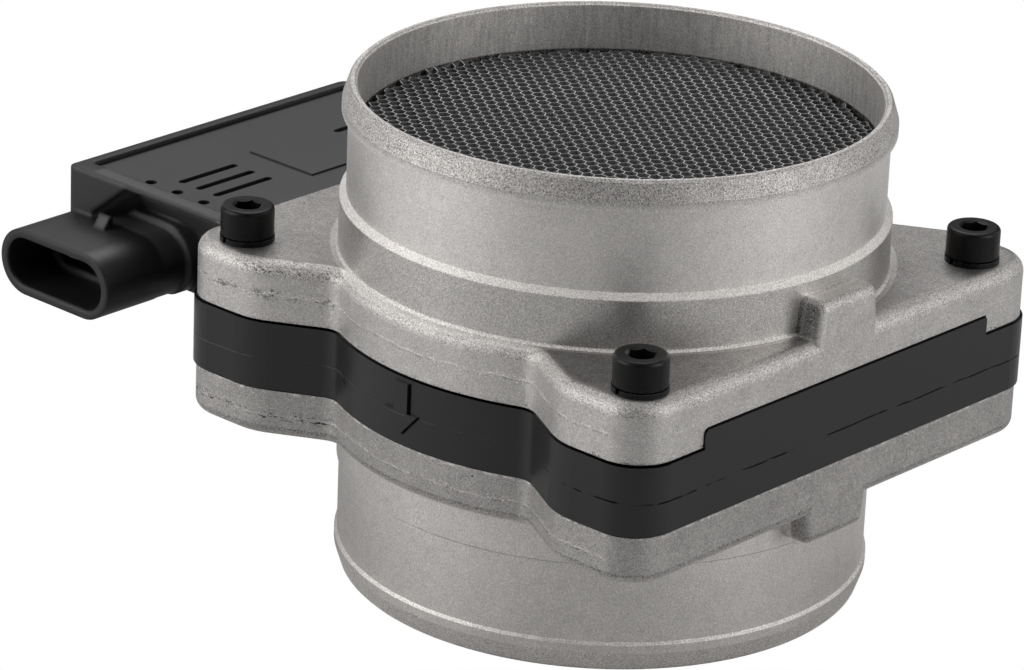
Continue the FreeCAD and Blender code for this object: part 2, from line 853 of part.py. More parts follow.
def sampling_duct():
    """Venturi tube in the middle of the bore on a faired arm, with its root in the body."""
    z0, z1 = duct_z - duct_length / 2, duct_z + duct_length / 2
    lip_r = duct_r - duct_lip
    tube = revolved([
        (0, z0), (lip_r, z0), (duct_r, z0 + duct_lip_length),
        (duct_r, z1 - duct_lip_length), (lip_r, z1), (0, z1),
    ])
    ellipse = Part.Ellipse(vec(0, 0), arm_height / 2, arm_width / 2).toShape()
    section = Part.Face(Part.Wire([ellipse]))
    section.rotate(ORIGIN, vec(0, 1), 90)
    arm_length = flow_r - arm_gap
    section.translate(vec(-arm_length, 0, duct_z))
    arm = section.extrude(vec(arm_length, 0, 0))
    throat = throat_length / 2
    passage = revolved([
        (0, z0 - 1), (duct_mouth_r, z0 - 1), (duct_mouth_r, z0), (duct_throat_r, duct_z - throat),
        (duct_throat_r, duct_z + throat), (duct_mouth_r, z1), (duct_mouth_r, z1 + 1), (0, z1 + 1),
    ])
    duct = tube.fuse([arm, duct_tongue(0.0)]).cut([passage, *post_rods(post_r + post_fit, -1.0)])
    return duct.removeSplitter()


def sensing_element(side):
    """Ceramic plate across two posts, edge on to the air."""
    y = side * post_pitch
    half_w, half_h, half_t = element_width / 2, element_height / 2, element_thickness / 2
    return box(-half_t, half_t, y - half_w, y + half_w, duct_z - half_h, duct_z + half_h)


def air_thermistor():
    """Glass bead on a short stem beside the arm."""
    y = -(arm_width / 2 + bead_stand)
    bead = Part.makeSphere(bead_d / 2, vec(bead_x, y, duct_z))
    stem = Part.makeCylinder(bead_stem_r, bead_stand - bead_gap, vec(bead_x, y, duct_z), vec(0, 1))
    return bead.fuse(stem).removeSplitter()


def all_pieces():
    """Every piece of the sensor under its own name."""
    pieces = {
        "inlet_housing": inlet_housing(),
        "outlet_housing": outlet_housing(),
        "sensor_body": sensor_body(),
        "electronics_cover": electronics_cover(),
        "cover_seal": cover_seal(),
        "inlet_seal": seal_ring(inlet_face_z - seal_height, inlet_face_z),
        "outlet_seal": seal_ring(outlet_face_z, outlet_face_z + seal_height),
        "flow_straightener": flow_straightener(),
        "clamp_screws": clamp_screws(),
        "lock_washers": lock_washers(),
        "base_plate": base_plate(),
        "circuit_board": circuit_board(),
        "controller_chip": controller_chip(),
        "power_transistor": power_transistor(),
        "chip_capacitors": chip_capacitors(),
        "chip_resistors": chip_resistors(),
        "filter_capacitor": filter_capacitor(),
        "sampling_duct": sampling_duct(),
        "element_posts": element_posts(),
        "hot_film_element": sensing_element(-1),
        "reference_element": sensing_element(1),
        "air_thermistor": air_thermistor(),
    }
    for name, x in zip(terminal_names, terminal_places()):
        pieces[name] = terminal_blade(x)
    return pieces


os.makedirs("parts", exist_ok=True)
for name, shape in all_pieces().items():
    bounds = shape.BoundBox
    print(f"{name}: {len(shape.Solids)} solids, valid {shape.isValid()}, volume {shape.Volume:.0f} mm3, "
          f"z {bounds.ZMin:.2f} to {bounds.ZMax:.2f}")
    shape.exportStep(f"parts/{name}.step")
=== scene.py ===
import json
import math

import bpy
import numpy as np
from mathutils import Matrix, Vector


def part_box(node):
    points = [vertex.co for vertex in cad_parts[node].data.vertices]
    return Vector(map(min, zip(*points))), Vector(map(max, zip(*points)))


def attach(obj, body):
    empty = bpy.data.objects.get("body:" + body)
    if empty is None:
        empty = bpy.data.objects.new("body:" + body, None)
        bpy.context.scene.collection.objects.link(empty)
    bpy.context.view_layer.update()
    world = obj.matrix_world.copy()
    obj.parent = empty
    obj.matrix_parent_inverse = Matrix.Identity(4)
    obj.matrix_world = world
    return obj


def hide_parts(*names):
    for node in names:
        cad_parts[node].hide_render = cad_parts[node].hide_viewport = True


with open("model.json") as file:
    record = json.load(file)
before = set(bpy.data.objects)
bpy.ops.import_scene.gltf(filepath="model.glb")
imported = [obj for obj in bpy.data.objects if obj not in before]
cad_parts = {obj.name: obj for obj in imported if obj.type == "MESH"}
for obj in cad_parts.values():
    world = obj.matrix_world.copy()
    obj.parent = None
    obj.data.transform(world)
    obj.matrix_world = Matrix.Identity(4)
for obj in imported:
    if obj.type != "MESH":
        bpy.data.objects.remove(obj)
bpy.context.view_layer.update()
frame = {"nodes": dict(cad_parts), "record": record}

nodes = frame["nodes"]

# %% [markdown]
# # Dressing a mass airflow sensor
#
# The frame holds the solids of the sensor: two die castings, a moulded body with its
# electronics box, a lid, screws, washers, a honeycomb and the parts inside. This script
# gives each of them its surface, swaps the coarse honeycomb for one with real cells,
# and lights the whole as a product shot on white.

# %% [markdown]
# ## Places on the sensor
#
# Everything is in metres, with the air path along Z. Heights are read from the solids,
# so a change there carries over to what is added here.

# %% Places
mm = 0.001
inlet_low, inlet_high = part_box("inlet_housing")
inlet_face, rim_z = inlet_low.z, inlet_high.z
outlet_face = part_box("outlet_housing")[1].z
flange_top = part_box("lock_washers")[0].z
screen_low, screen_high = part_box("flow_straightener")
pad_height = 0.35 * mm
lid_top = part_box("electronics_cover")[1].z - pad_height
ring_top = flange_top + 8.4 * mm
bead_low = rim_z - 4.7 * mm
for place, height in (("rim", rim_z), ("flange top", flange_top), ("lid", lid_top)):
    print(f"{place} at {height / mm:.1f} mm")

# %% [markdown]
# ## Writing shaders as arithmetic
#
# A surface here is a formula of the position on the object: grain, specks and lines are
# sums and products of noise. Wiring nodes by hand hides that formula, so a small class
# wraps a socket and overloads the operators. `a * b + c` then builds the same nodes and
# still reads as the formula.

# %% A socket that takes part in sums
class Signal:
    """A number or vector inside a material, on which arithmetic adds nodes."""

    def __init__(self, tree, socket):
        self.tree = tree
        self.socket = socket

    def feed(self, target, value):
        """Links a signal to an input, or sets the input to a plain value."""
        if isinstance(value, Signal):
            self.tree.links.new(value.socket, target)
        else:
            target.default_value = value

    def math(self, operation, *others, clamp=False):
        """New math node with this signal as its first input."""
        node = self.tree.nodes.new("ShaderNodeMath")
        node.operation = operation
        node.use_clamp = clamp
        for target, value in zip(node.inputs, (self, *others)):
            self.feed(target, value)
        return Signal(self.tree, node.outputs[0])

    def vector_math(self, operation, other, output=0):
        """New vector math node with this signal as its first input."""
        node = self.tree.nodes.new("ShaderNodeVectorMath")
        node.operation = operation
        self.feed(node.inputs[0], self)
        self.feed(node.inputs[1], other)
        return Signal(self.tree, node.outputs[output])

    def __add__(self, other):
        return self.math("ADD", other)

    def __radd__(self, other):
        return self.math("ADD", other)

    def __sub__(self, other):
        return self.math("SUBTRACT", other)

    def __rsub__(self, other):
        return (self * -1.0) + other

    def __mul__(self, other):
        return self.math("MULTIPLY", other)

    def __rmul__(self, other):
        return self.math("MULTIPLY", other)

    def __truediv__(self, other):
        return self.math("DIVIDE", other)

    def abs(self):
        """Distance from zero."""
        return self.math("ABSOLUTE")

    def clamped(self):
        """Held between 0 and 1."""
        return self.math("ADD", 0.0, clamp=True)

    def above(self, limit, width):
        """0 below the limit, rising to 1 over the width."""
        return ((self - limit) * (1.0 / width)).clamped()

    def below(self, limit, width):
        """1 below the limit, falling to 0 over the width."""
        return ((limit - self) * (1.0 / width)).clamped()

    def between(self, low, high, width):
        """1 between two limits, with a soft edge inside each."""
        return self.above(low, width) * self.below(high, width)

    def near(self, place, width):
        """1 at the place, falling to 0 over the width on either side."""
        return (1.0 - (self - place).abs() * (1.0 / width)).clamped()


print("signal helpers:", ", ".join(name for name in vars(Signal) if not name.startswith("_")))

# %% [markdown]
# ## One shader for each surface
#
# Paint, plastic, rubber and metal can all be told apart by one Principled shader: its
# base colour, metallic, roughness and normal. Mixing several shaders would do the same
# with more nodes. A second class keeps the material, its shader and the few nodes that
# these surfaces share: position, noise, slope, sharp edges and relief.

# %% A material with one shader
class Surface:
    """A material with one principled shader."""

    def __init__(self, name):
        self.material = bpy.data.materials.new(name)
        self.material.use_nodes = True
        self.tree = self.material.node_tree
        self.shader = self.tree.nodes["Principled BSDF"]
        self.place = self.node("ShaderNodeTexCoord", "Object")

    def node(self, kind, output, inputs=None, **settings):
        """New node of any kind with its settings and inputs, as a signal from one output."""
        node = self.tree.nodes.new(kind)
        for name, value in settings.items():
            setattr(node, name, value)
        signal = Signal(self.tree, node.outputs[output])
        for name, value in (inputs or {}).items():
            signal.feed(node.inputs[name], value)
        return signal

    def axes(self):
        """The three coordinates of the position, in metres."""
        return [self.node("ShaderNodeSeparateXYZ", axis, {"Vector": self.place}) for axis in "XYZ"]

    def noise(self, size, detail=2.0, roughness=0.5, place=None):
        """Noise from 0 to 1 with features of a size in metres."""
        return self.node("ShaderNodeTexNoise", "Fac", {
            "Vector": place or self.place, "Scale": 1.0 / size,
            "Detail": detail, "Roughness": roughness,
        })

    def stretched(self, *scale):
        """Position scaled along each axis, so that noise stretches where the scale is small."""
        return self.node("ShaderNodeMapping", "Vector", {"Vector": self.place, "Scale": scale})

    def mix(self, factor, first, second):
        """Colour between two colours."""
        node = self.tree.nodes.new("ShaderNodeMix")
        node.data_type = "RGBA"
        mixed = Signal(self.tree, node.outputs[2])
        mixed.feed(node.inputs[0], factor)
        mixed.feed(node.inputs[6], first)
        mixed.feed(node.inputs[7], second)
        return mixed

    def facing(self, axis):
        """Part of the surface normal along an axis: for Z 1 on top faces, 0 on upright walls."""
        normal = self.node("ShaderNodeNewGeometry", "Normal")
        return self.node("ShaderNodeSeparateXYZ", axis, {"Vector": normal})

    def edges(self, radius, gain):
        """1 along sharp edges, where the rounded normal leaves the true one."""
        rounded = self.node("ShaderNodeBevel", "Normal", {"Radius": radius}, samples=4)
        plain = self.node("ShaderNodeNewGeometry", "Normal")
        facing = rounded.vector_math("DOT_PRODUCT", plain, "Value")
        return ((1.0 - facing) * gain).clamped()

    def bump(self, height, depth, normal=None):
        """Normal of a relief whose height runs from 0 to 1 over a depth in metres."""
        inputs = {"Height": height, "Distance": depth, "Strength": 1.0}
        if normal:
            inputs["Normal"] = normal
        return self.node("ShaderNodeBump", "Normal", inputs)

    def finish(self, **inputs):
        """Sets the shader's inputs and returns the material."""
        for name, value in inputs.items():
            self.place.feed(self.shader.inputs[name.replace("_", " ")], value)
        return self.material


def grey(value, warmth=0.0):
    """Neutral colour, a little warmer where asked."""
    return (value * (1 + warmth), value, value * (1 - warmth), 1.0)


black, white = grey(0.0), grey(1.0)
cool_white = (1.0, 1.0, 1.02, 1.0)
print("surface helpers:", ", ".join(name for name in vars(Surface) if not name.startswith("_")))

# %% [markdown]
# ## Blasted die casting
#
# The castings are aluminium alloy, blasted after trimming. The blast leaves a fine
# dimpled skin that scatters light. It bites hardest on edges, fillets and the sloping
# faces of the rim, which look sandy, and leaves the straight walls smoother and brighter.
# A plain grey would miss that: all these faces are one alloy and differ in skin only.
# So one mask, `sandy`, drives colour, roughness and relief together. It comes from the
# slope of the face, because that is what decides how the blast hits it.
#
# Trimming leaves its own marks. The die closed at the middle of each flange, and a faint
# broken seam runs round there, with torn bits and dark flecks. The corner under the plug
# has the most of them, and its upper edge is scuffed. Inside the inlet, the core that
# shaped the bore was drawn out along the axis and left fine streaks.

# %% Parting seam
seam_heights = (inlet_face + 4.3 * mm, outlet_face - 4.2 * mm)


def parting_seam(surface, z, height, outside, left_corner):
    """Broken seam at a height, as a rough lip, its shadow and torn dark flecks.

    The seam wanders by a slow noise. Each mark is 1 on it and falls off to both sides,
    times a fine noise that tears it.
    """
    wander = (surface.noise(9 * mm, 3.0, 0.6) - 0.5) * (1.8 * mm)
    off = z - height - wander
    torn = surface.noise(0.7 * mm, 4.0, 0.75, surface.stretched(0.45, 0.45, 1.0))
    patches = surface.noise(6 * mm, 2.0)
    rough = surface.noise(0.4 * mm, 3.0, 0.7).above(0.54, 0.06) * patches.above(0.4, 0.15)
    lip = off.near(0.0, 0.24 * mm) * torn.above(0.46, 0.1) * outside * 0.45
    lip = lip + off.near(0.0, 0.8 * mm) * rough * outside
    shade = off.near(-0.32 * mm, 0.28 * mm) * torn.above(0.5, 0.08) * outside
    limit = 0.67 - left_corner * 0.14 - (patches - 0.5) * 0.4
    width = 0.4 * mm + left_corner * (0.8 * mm)
    flecks = (1.0 - off.abs() / width).clamped() * ((torn - limit) * 16.0).clamped() * outside
    return lip, shade, flecks


print("seams at", " and ".join(f"{height / mm:.1f} mm" for height in seam_heights))


# %% Trimmed and scuffed edges
def trimmed_edges(surface, z, outside):
    """Torn bright bits on the edge below the band and dark nicks on the one above it."""
    torn = surface.noise(0.8 * mm, 4.0, 0.75, surface.stretched(0.5, 0.5, 1.0))
    below = z.between(outlet_face - 0.6 * mm, outlet_face + 0.1 * mm, 0.2 * mm)
    above = z.between(inlet_face - 0.1 * mm, inlet_face + 0.7 * mm, 0.25 * mm)
    return below * torn.above(0.52, 0.08) * outside, above * torn.above(0.58, 0.06) * outside


def scuffed_edge(surface, x, y, z, left_corner):
    """Dark scratches along the upper edge of the left corner."""
    scratch = surface.noise(0.36 * mm, 4.0, 0.75, surface.stretched(0.25, 1.0, 1.0))
    stretch = x.between(-41 * mm, -18 * mm, 6 * mm)
    height = z.between(flange_top - 2.6 * mm, flange_top + 0.2 * mm, 1.0 * mm)
    return scratch.above(0.53, 0.1) * stretch * height * left_corner * y.below(-38 * mm, 3 * mm)


print(f"edges trimmed at {outlet_face / mm:.1f} and {inlet_face / mm:.1f} mm")

# %% [markdown]
# ## Zones of the casting
#
# The same alloy looks different on each face, because the blast, the die and the core
# left different skins and because some faces lie in shade. Some tones paint that light in:
# the flange tops, the bore wall round the honeycomb, the near side of the upper boss, the
# flange fillets and the lower flange are painted darker as painted shade, and the
# undersides of the flanges are painted lighter as painted light. Separate materials for the
# faces would need the mesh cut up and would show hard borders. Masks from the height, the
# radius and the slope of the face follow the form and fade into each other.

# %% Zones of the casting
wall_radius = 45.6 * mm
boss_side = -6.7 * mm


def casting_zones(surface, x, y, z):
    """Masks for the faces that differ in skin or in tone, 1 inside each zone."""
    radius = (x * x + y * y).math("SQRT")
    rise = surface.facing("Z")
    ring_high, near_ring = ring_top + 0.2 * mm, radius.below(46 * mm, 1 * mm)
    near_top = z.between(flange_top - 0.5 * mm, flange_top + 0.5 * mm, 0.2 * mm)
    boss = z.above(flange_top, 0.5 * mm) * x.above(40 * mm, 1 * mm)
    bore = radius.below(screen_high.x + 0.4 * mm, 0.3 * mm)
    outside = radius.above(wall_radius, 0.3 * mm)
    slope = rise.abs().between(0.06, 0.985, 0.08)
    zones = {
        "bore": bore,
        "outside": outside,
        "slope": slope,
        "rim": z.above(bead_low, 1.6 * mm) * (1.0 - bore),
        "ring": z.between(flange_top + 0.2 * mm, ring_high, 0.4 * mm) * near_ring,
        "chamfer": z.between(ring_top - 0.1 * mm, ring_top + 1.2 * mm, 0.2 * mm) * slope,
        "flange": z.between(outlet_face - 14 * mm, flange_top + 7 * mm, 0.3 * mm) * outside,
        # painted shade: the flange tops are painted darker
        "top": near_top * rise.above(0.9, 0.08),
        # painted shade: with the flange mask, the lower flange is painted darker
        "low": z.below(outlet_face + 1 * mm, 1 * mm),
        # painted shade: the bore wall round the honeycomb is painted dark, a painted shadow line
        "gap": z.between(screen_low.z, screen_high.z + 0.35 * mm, 0.25 * mm) * bore,
        "corner": x.below(-16 * mm, 8 * mm) * y.below(-20 * mm, 8 * mm),
        "seam": outside * (1.0 - x.above(40 * mm, 4 * mm) * 0.7),
        # painted light: the undersides of the flanges are painted lighter
        "under": rise.below(-0.15, 0.5) * outside,
        # painted shade: the near side of the upper boss is painted darker
        "boss_side": boss * y.between(boss_side - 1 * mm, boss_side + 1 * mm, 0.3 * mm)
        * surface.facing("Y").below(-0.7, 0.2),
    }
    zones["wall"] = 1.0 - bore
    for other in ("rim", "ring", "flange"):
        zones["wall"] = zones["wall"] * (1.0 - zones[other])
    return zones


# %% Tones and sand of the zones
# Tones of the zones. The flange tops, the gap round the honeycomb and the boss side are painted
# shade; the undersides are painted light.
zone_tones = {
    "wall": 0.21, "flange": 0.05, "bore": 0.12, "ring": 0.08, "rim": -0.06, "chamfer": 0.12,
    "top": -0.26, "gap": -0.5, "under": 0.28, "boss_side": -0.26,
}
zone_sand = {"slope": 0.7, "rim": 0.6, "ring": 0.4, "flange": 0.2, "bore": 0.3}


def weighted(start, zone, weights):
    """Start plus the sum of mask times weight over the zones."""
    for part, weight in weights.items():
        start = zone[part] * weight + start
    return start


print("from dark to light:", ", ".join(sorted(zone_tones, key=zone_tones.get)))


# %% Cast aluminium
def cast_aluminium(name):
    """Light grey blasted casting with sandy edges, seams, scuffs, streaks and a few pits."""
    surface = Surface(name)
    x, y, z = surface.axes()
    zone = casting_zones(surface, x, y, z)
    grain = surface.noise(0.24 * mm, 2.0, 0.7)
    mottle = surface.noise(2.6 * mm, 4.0, 0.65)
    cloud = surface.noise(11 * mm, 3.0, 0.6)
    drawn_out = surface.stretched(1.0, 1.0, 0.12)
    streaks = (surface.noise(0.7 * mm, 3.0, 0.7, drawn_out) - 0.5) * zone["bore"]
    pits = surface.noise(1.3 * mm, 1.0).above(0.77, 0.04) * (zone["flange"] * 0.8 + 0.2)
    sparkle = surface.noise(0.21 * mm, 1.0).above(0.64, 0.06)
    sandy = weighted(surface.edges(0.7 * mm, 5.0), zone, zone_sand).clamped()
    tone = weighted(0.50, zone, zone_tones)
    # Painted shade: the flange fillets are painted darker to dim their highlight, and the lower
    # flange darker where shade falls.
    tone = tone - zone["flange"] * (zone["slope"] * 0.08 + zone["low"] * 0.13)
    tone = tone + (cloud - 0.5) * 0.12 + (mottle - 0.5) * 0.18 + streaks * 0.5
    tone = tone + (grain - 0.5) * (0.8 + sandy * 0.9 - zone["flange"] * 0.2) + sparkle * 0.22
    relief = grain * (0.6 + sandy * 0.5 - zone["ring"] * 0.5) + mottle * 0.3 + streaks * 0.4
    for height in seam_heights:
        lip, shade, flecks = parting_seam(surface, z, height, zone["seam"], zone["corner"])
        tone = tone + lip * 0.3 - shade * 0.18 - flecks * 0.38
        relief = relief + lip * 1.6 - flecks * 1.4
    bright, dark = trimmed_edges(surface, z, zone["outside"])
    scuff = scuffed_edge(surface, x, y, z, zone["corner"])
    tone = tone + bright * 0.25 - dark * 0.35 - scuff * 0.34 - pits * 0.25
    relief = relief + bright - dark - scuff - pits * 1.5
    return surface.finish(
        Base_Color=surface.mix(tone.clamped(), black, (1.0, 0.965, 0.935, 1)),
        Metallic=0.85,
        Roughness=(0.42 + sandy * 0.18 - zone["ring"] * 0.16 + (grain - 0.5) * 0.1).clamped(),
        Normal=surface.bump(relief, 0.035 * mm),
    )


# %% [markdown]
# ## Moulded plastic
#
# The body is black glass-filled plastic with a satin skin. Its socket and scoop came out
# of the mould with soft edges, which catch a wide dull highlight where a sharp edge would
# show a hard line. The shader rounds them, and the band between the castings keeps its
# crisp edges. Both edges of the band lie in shade and are painted black as painted shade,
# and so is a strip beside the raised arrow. A faint mould line runs round the band, with a
# few nicks beside it; the nicks and the line on the right side are painted black as painted
# shade too. The hollow above the socket is painted a little lighter grey as painted light.

# %% Marks on the band
band_line = 38.6 * mm
nicks_at = {(-26.0, -38.9, 35.3): 1.2, (-17.6, -43.3, 38.0): 1.0, (20.0, -44.0, 39.5): 0.4}


def band_marks(surface, x, z):
    """Broken mould line round the band, and nicks that fade away from their middle."""
    broken = surface.noise(2.2 * mm, 3.0, 0.7, surface.stretched(0.3, 0.3, 1.0))
    wander = (surface.noise(12 * mm, 2.0) - 0.5) * (1.0 * mm)
    line = (z - band_line - wander).near(0.0, 0.2 * mm) * broken.above(0.45, 0.08)
    torn = surface.noise(0.6 * mm, 3.0, 0.7).above(0.5, 0.1)
    nicks = 0.0
    for place, size in nicks_at.items():
        away = surface.place.vector_math("DISTANCE", [v * mm for v in place], "Value")
        nicks = away.below(size * mm, 0.6 * size * mm) * torn + nicks
    return line * x.above(-50.5 * mm, 1 * mm), nicks


def arrow_shade(x, y, z):
    """Shade beside the raised arrow: strips along its shaft and its slanted head."""
    middle, top = -1.7 * mm, inlet_face - 1.0 * mm
    half_shaft, half_head, head_length = 1.5 * mm, 3.55 * mm, 3.9 * mm
    tip = top - 8.9 * mm
    neck = tip + head_length
    beside = x - middle
    shaft = (beside - half_shaft).between(0.0, 0.35 * mm, 0.1 * mm) * z.between(neck, top, 0.1 * mm)
    slant = (z - tip) * (half_head / head_length)
    head = (beside - slant).between(0.0, 0.45 * mm, 0.1 * mm) * z.between(tip, neck, 0.1 * mm)
    return (shaft + head) * y.below(-30 * mm, 1 * mm)


print("mould line at", round(band_line / mm, 1), "mm with", len(nicks_at), "nicks")


# %% Plain moulded plastic
def moulded_plastic(name, value, roughness, grain_size, grain_depth):
    """Black plastic with the fine skin of its mould."""
    surface = Surface(name)
    grain = surface.noise(grain_size, 2.0, 0.6)
    flow = surface.noise(14 * mm, 3.0, 0.6)
    return surface.finish(
        Base_Color=surface.mix((0.85 + flow * 0.3) * value, black, cool_white),
        Roughness=roughness - 0.05 + grain * 0.1,
        Normal=surface.bump(grain, grain_depth),
    )


print("one maker for the duct, the chips and the bead")


# %% Shaded places of the body
def shaded_places(surface, x, y, z, line, nicks):
    """1 where no light gets in: both edges of the band, its marks and beside the arrow."""
    upper = z.between(inlet_face - 0.8 * mm, inlet_face + 0.1 * mm, 0.15 * mm)
    upper = upper * surface.facing("Z").above(0.1, 0.1)
    ragged = (surface.noise(1.2 * mm, 3.0, 0.7) - 0.5) * (0.7 * mm)
    lower = (z - ragged).below(outlet_face + 0.3 * mm, 0.15 * mm)
    marks = line * x.above(30 * mm, 5 * mm) * 1.5 + nicks * 1.4
    return ((upper + lower + marks).clamped() + arrow_shade(x, y, z)).clamped()


def socket_hollow(x, y, z):
    """1 in the hollow between the box and the socket, where the body is painted lighter as painted
    light.
    """
    across = y.between(-38.9 * mm, -30.0 * mm, 0.6 * mm)
    return across * z.above(42 * mm, 3 * mm) * x.above(-81.4 * mm, 0.4 * mm)


print(f"black edges at {outlet_face / mm:.1f} and {inlet_face / mm:.1f} mm")


# %% Body of the sensor
soft_edge = 1.1 * mm


def body_plastic(name):
    """Satin black body with soft edges on the socket and marks on the band."""
    surface = Surface(name)
    x, y, z = surface.axes()
    grain = surface.noise(0.25 * mm, 2.0, 0.6)
    flow = surface.noise(14 * mm, 3.0, 0.6)
    line, nicks = band_marks(surface, x, z)
    box_side = x.below(-51 * mm, 1 * mm)
    shaded = shaded_places(surface, x, y, z, line, nicks) * (1.0 - box_side)
    hollow = socket_hollow(x, y, z) * box_side
    rounding = {"Radius": box_side * soft_edge}
    rounded = surface.node("ShaderNodeBevel", "Normal", rounding, samples=4)
    # painted light: the hollow above the socket is painted a lighter grey
    tone = 0.0075 + flow * 0.003 + line * x.below(-10 * mm, 5 * mm) * 0.012 + hollow * 0.045
    return surface.finish(
        Base_Color=surface.mix(tone * (1.0 - shaded), black, cool_white),
        Metallic=shaded,
        Roughness=0.25 + grain * 0.1 + box_side * 0.15 + line * 0.4 + nicks * 0.2,
        Normal=surface.bump(grain * 0.1 - line * 0.8 - nicks, 0.05 * mm, rounded),
    )


print(f"edges of {soft_edge / mm:.1f} mm on the box side")


# %% Lid and seals
def lid_plastic(name):
    """Matt lid, in whose grooves and slots no light gets down."""
    surface = Surface(name)
    z = surface.axes()[2]
    grain = surface.noise(0.18 * mm, 2.0, 0.6)
    flow = surface.noise(14 * mm, 3.0, 0.6)
    sunk = z.between(lid_top - 2.5 * mm, lid_top - 0.1 * mm, 0.1 * mm)
    tone = (0.020 + flow * 0.008) * (1.0 - sunk * 0.9)
    return surface.finish(
        Base_Color=surface.mix(tone, black, cool_white),
        Roughness=0.50 + grain * 0.1 + sunk * 0.2,
        Normal=surface.bump(grain, 0.012 * mm),
    )


def rubber(name):
    """Matt black seal."""
    surface = Surface(name)
    grain = surface.noise(0.4 * mm)
    return surface.finish(
        Base_Color=surface.mix(grain, grey(0.012), grey(0.022)),
        Roughness=0.75 + grain * 0.1,
        Normal=surface.bump(grain, 0.01 * mm),
    )


print(f"grooves of the lid are dark below {lid_top / mm:.1f} mm")

# %% [markdown]
# ## Screws, foil and plain metals
#
# The screws are blackened steel. Black paint would look flat: the oxide skin is thin, so
# it stays metallic and is rubbed brighter on its edges, which are also painted brighter as a
# painted highlight. The honeycomb's foil is dull aluminium whose cut edges shine; an
# attribute on the mesh tells them apart from its walls, and they are painted bright as
# painted light over walls painted dark as painted shade. The plate, can, posts and pins
# need only their own tone and a faint grain, so one maker serves them all.

# %% Metals
def plain_metal(name, value, roughness, warmth=0.0):
    """Metal with a faint grain."""
    surface = Surface(name)
    grain = surface.noise(0.3 * mm, 3.0)
    return surface.finish(
        Base_Color=surface.mix(grain, grey(value * 0.85, warmth), grey(value * 1.1, warmth)),
        Metallic=1.0,
        Roughness=roughness - 0.05 + grain * 0.1,
        Normal=surface.bump(grain, 0.004 * mm),
    )


def black_oxide(name):
    """Blackened steel, rubbed a little brighter on its edges and painted brighter there as a
    painted highlight.
    """
    surface = Surface(name)
    grain = surface.noise(0.5 * mm, 4.0, 0.7)
    edge = surface.edges(0.25 * mm, 2.0) * grain.above(0.45, 0.15)
    # painted highlight: the edges are painted brighter, partly for rubbed oxide and partly for
    # their sheen
    tone = 0.008 + grain * 0.012 + edge * 0.16
    return surface.finish(
        Base_Color=surface.mix(tone, black, white),
        Metallic=0.8,
        Roughness=0.30 + grain * 0.16,
        Normal=surface.bump(grain, 0.01 * mm),
    )


def honeycomb_foil(name):
    """Cut edges of the foil painted bright as painted light, duller where two foils are bonded,
    over walls painted dark as painted shade.
    """
    surface = Surface(name)
    painted_edge_light = surface.node("ShaderNodeAttribute", "Fac", attribute_name="painted_edge_light")
    grain = surface.noise(0.8 * mm, 3.0)
    waves = surface.noise(9 * mm, 2.0)
    # painted light on the cut edges, over walls painted dark as painted shade
    tone = 0.12 + grain * 0.07 + painted_edge_light * (0.22 + waves * 0.35)
    return surface.finish(
        Base_Color=surface.mix(tone, black, white),
        Metallic=0.2,
        Roughness=0.6 - painted_edge_light * 0.15,
        Normal=surface.bump(grain, 0.01 * mm),
    )


print("makers for plain metal, blackened steel and foil")

# %% [markdown]
# ## Board and ceramic
#
# These lie inside, and show only when the model is taken apart. A board is told by its
# green mask over raised tracks, and a grid of bricks gives tracks with one node where
# drawing each one would not repay the work. The ceramic of the heated plates and the chip
# capacitors is off white and mottled, never pure white.

# %% Electronics
def board_laminate(name):
    """Green solder mask over tracks that run along and across the board."""
    surface = Surface(name)
    tracks = surface.node("ShaderNodeTexBrick", "Fac", {
        "Vector": surface.place, "Scale": 1.0,
        "Mortar Size": 0.3 * mm, "Brick Width": 9 * mm, "Row Height": 1.8 * mm,
    })
    return surface.finish(
        Base_Color=surface.mix(tracks, (0.006, 0.07, 0.03, 1), (0.03, 0.2, 0.09, 1)),
        Roughness=0.35 + surface.noise(0.8 * mm) * 0.1,
        Normal=surface.bump(tracks, 0.02 * mm),
    )


def ceramic(name):
    """Fired ceramic, off white and mottled."""
    surface = Surface(name)
    mottle = surface.noise(0.7 * mm, 4.0, 0.7)
    return surface.finish(
        Base_Color=surface.mix(mottle, (0.45, 0.40, 0.32, 1), (0.72, 0.68, 0.58, 1)),
        Roughness=0.4 + mottle * 0.15,
        Normal=surface.bump(mottle, 0.006 * mm),
    )


print("makers for the board and the ceramic plates")

# %% One material for each slot
makers = {
    "cast_aluminium": cast_aluminium,
    "black_plastic": body_plastic,
    "cover_plastic": lid_plastic,
    "duct_plastic": lambda name: moulded_plastic(name, 0.02, 0.45, 0.25 * mm, 0.006 * mm),
    "chip_plastic": lambda name: moulded_plastic(name, 0.02, 0.6, 0.15 * mm, 0.01 * mm),
    "seal_rubber": rubber,
    "black_steel": black_oxide,
    "honeycomb_foil": honeycomb_foil,
    "plate_aluminium": lambda name: plain_metal(name, 0.6, 0.35),
    "can_aluminium": lambda name: plain_metal(name, 0.7, 0.3),
    "post_steel": lambda name: plain_metal(name, 0.55, 0.3, 0.03),
    "terminal_brass": lambda name: plain_metal(name, 0.35, 0.4, 0.08),
    "board_laminate": board_laminate,
    "ceramic": ceramic,
    "bead_coating": lambda name: moulded_plastic(name, 0.03, 0.2, 0.5 * mm, 0.002 * mm),
}
materials = {slot: maker(slot) for slot, maker in makers.items()}
for entry in frame["record"]["subparts"]:
    mesh = nodes[entry["node"]].data
    mesh.materials.clear()
    mesh.materials.append(materials[entry["material_slot"]])
print(len(materials), "materials on", len(nodes), "nodes")

